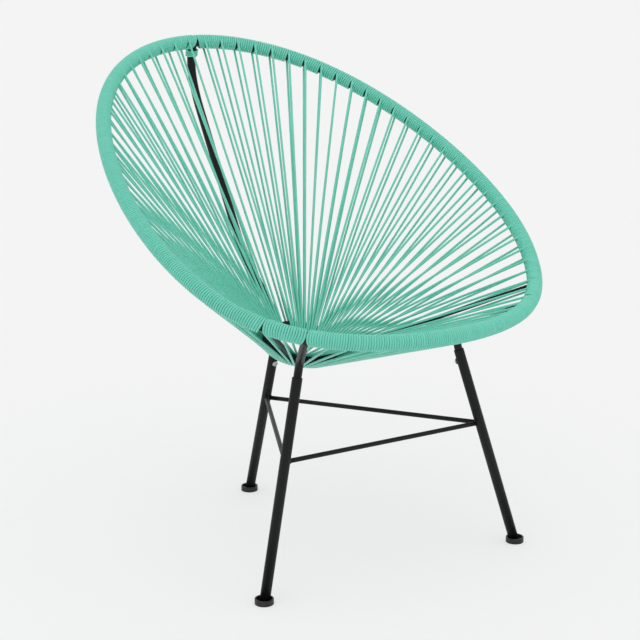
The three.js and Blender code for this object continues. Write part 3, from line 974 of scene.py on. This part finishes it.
def cord_piece(name, points, away):
    """A tube along the cord, with the distance along it and round it kept as its own map."""
    grid = tube_grid(points, away, CORD_RADIUS, CORD_SIDES)
    along = length_run(points)
    around = np.arange(CORD_SIDES) * 2 * np.pi * CORD_RADIUS / CORD_SIDES
    uv = np.stack(np.broadcast_arrays(along[:, None], around[None]), axis=-1)
    print(name, "length", round(float(along[-1]), 2), "m")
    return mesh_from_grid(name, grid, uv=uv)


for number, place in enumerate(("front_right", "back_right", "back_left", "front_left")):
    node = "seat_cord_" + place
    points, away = cord_path(number)
    finish_piece(cord_piece(node + "_laced", points, away), PVC, "mint_cord", node)

# %% [markdown]
# ## The binding at the spine's top
# Just under the hoop the spine wears three turns of the same cord. A straight coil wouldn't follow
# the bend there, so each point is set square to the spine's own path, at the length run along it.

# %% Spine binding
BINDING_START, BINDING_END = 17 * MM, 30 * MM
BINDING_TURNS = 3

spine_run = length_run(spine_path)
place = np.linspace(BINDING_START, BINDING_END, BINDING_TURNS * TURN_STEPS + 1)
centre = np.stack([np.interp(place, spine_run, column) for column in spine_path.T], axis=-1)
along = unit(np.gradient(centre, axis=0))
turn = np.linspace(0, 2 * np.pi * BINDING_TURNS, len(place))[:, None]
away = turned(turn, RIGHT, np.cross(along, RIGHT))
binding = cord_piece("spine_top_binding", centre + (SPINE_RADIUS + CORD_RADIUS) * away, away)
finish_piece(binding, PVC, "mint_cord")

# %% [markdown]
# ## The camera
# The camera stands at the photograph's place: to the left of the chair's front, a little above the
# seat, and far enough back that the chair keeps nearly parallel sides. It could be moved by hand
# until it fits, but its place is worked out from two angles and a distance, which can be fitted.

# %% Camera
AZIMUTH = math.radians(32.55)
ELEVATION = math.radians(14.14)
DISTANCE = 3206.6 * MM
AIM = np.array([9.58 * MM, 400 * MM - HALF_DEPTH, 389.3 * MM])
SENSOR_WIDTH_MM, LENS_MM = 36, 101.25
CLIP_END = 200


def look_along(new_object, direction):
    """Turns a camera or a lamp so that it looks along a direction, with its top up."""
    new_object.rotation_euler = Vector(direction).to_track_quat("-Z", "Y").to_euler()


look = np.array([
    math.sin(AZIMUTH) * math.cos(ELEVATION),
    math.cos(AZIMUTH) * math.cos(ELEVATION),
    -math.sin(ELEVATION),
])
camera_data = bpy.data.cameras.new("photo_camera")
camera_data.sensor_width = SENSOR_WIDTH_MM
camera_data.lens = LENS_MM
camera_data.clip_end = CLIP_END
camera = add_object("photo_camera", camera_data)
camera.location = Vector(AIM - DISTANCE * look)
look_along(camera, look)
bpy.context.scene.camera = camera
print("camera at", [round(float(v), 3) for v in camera.location])

# %% [markdown]
# ## The floor
# The floor is a plain pale sheet that reaches past the top of the view. It could be lit until it is
# as white as the paper behind a product, but that would bleach the chair as well. So, for the
# camera alone, the floor is mostly its own white, and the rest of it still takes the shadow.

# %% Floor
FLOOR_HALF = 40.0
FLOOR_OWN_WHITE = 0.6

floor_mesh = bpy.data.meshes.new("floor")
around = ((-1, -1), (1, -1), (1, 1), (-1, 1))
corners = [(x * FLOOR_HALF, y * FLOOR_HALF, 0) for x, y in around]
floor_mesh.from_pydata(corners, [], [(0, 1, 2, 3)])
floor = add_object("floor", floor_mesh)
floor_paint, floor_tree, floor_surface = new_material("matt_white_floor")
set_node(floor_tree, floor_surface,
         {"Base Color": linear("#F6F6F6"), "Roughness": 0.9, "Specular IOR Level": 0.1})
seen = add_node(floor_tree, "ShaderNodeLightPath").outputs["Is Camera Ray"]
part = add_node(floor_tree, "ShaderNodeMapRange", {"To Max": FLOOR_OWN_WHITE}, {"Value": seen})
glow = add_node(floor_tree, "ShaderNodeEmission", {"Color": linear("#F4F4F4")})
mix = add_node(floor_tree, "ShaderNodeMixShader", links={
    "Fac": part.outputs["Result"], 1: floor_surface.outputs["BSDF"], 2: glow.outputs["Emission"]})
set_node(floor_tree, floor_tree.nodes["Material Output"], links={"Surface": mix.outputs["Shader"]})
floor_mesh.materials.append(floor_paint)
print("floor", 2 * FLOOR_HALF, "m wide")

# %% [markdown]
# ## The light
# A pale world lights the chair from all sides, and one very wide sun from the upper left adds a
# faint shadow and some shine. Several lamps could be set up as in a studio, but a part that will
# stand in many scenes is judged best in even light. The camera sees the world a little brighter
# than it shines, so that it meets the floor's white.

# %% Light
WORLD_STRENGTH, WORLD_SEEN = 0.85, 0.91
SUN_STRENGTH = 0.45
SUN_WIDTH = math.radians(70)
SUN_DIRECTION = (0.35, 0.3, -1.0)

world = bpy.data.worlds.new("pale_studio")
bpy.context.scene.world = world
world.use_nodes = True
sky = world.node_tree
seen = add_node(sky, "ShaderNodeLightPath").outputs["Is Camera Ray"]
strength = add_node(sky, "ShaderNodeMapRange", {"To Min": WORLD_STRENGTH, "To Max": WORLD_SEEN},
                    {"Value": seen})
set_node(sky, sky.nodes["Background"], {"Color": linear("#FFFFFF")},
         {"Strength": strength.outputs["Result"]})

sun_data = bpy.data.lights.new("wide_sun", "SUN")
sun_data.energy = SUN_STRENGTH
sun_data.angle = SUN_WIDTH
look_along(add_object("wide_sun", sun_data), SUN_DIRECTION)

bpy.context.scene.view_settings.view_transform = "Standard"
print("world", WORLD_STRENGTH, "sun", SUN_STRENGTH)
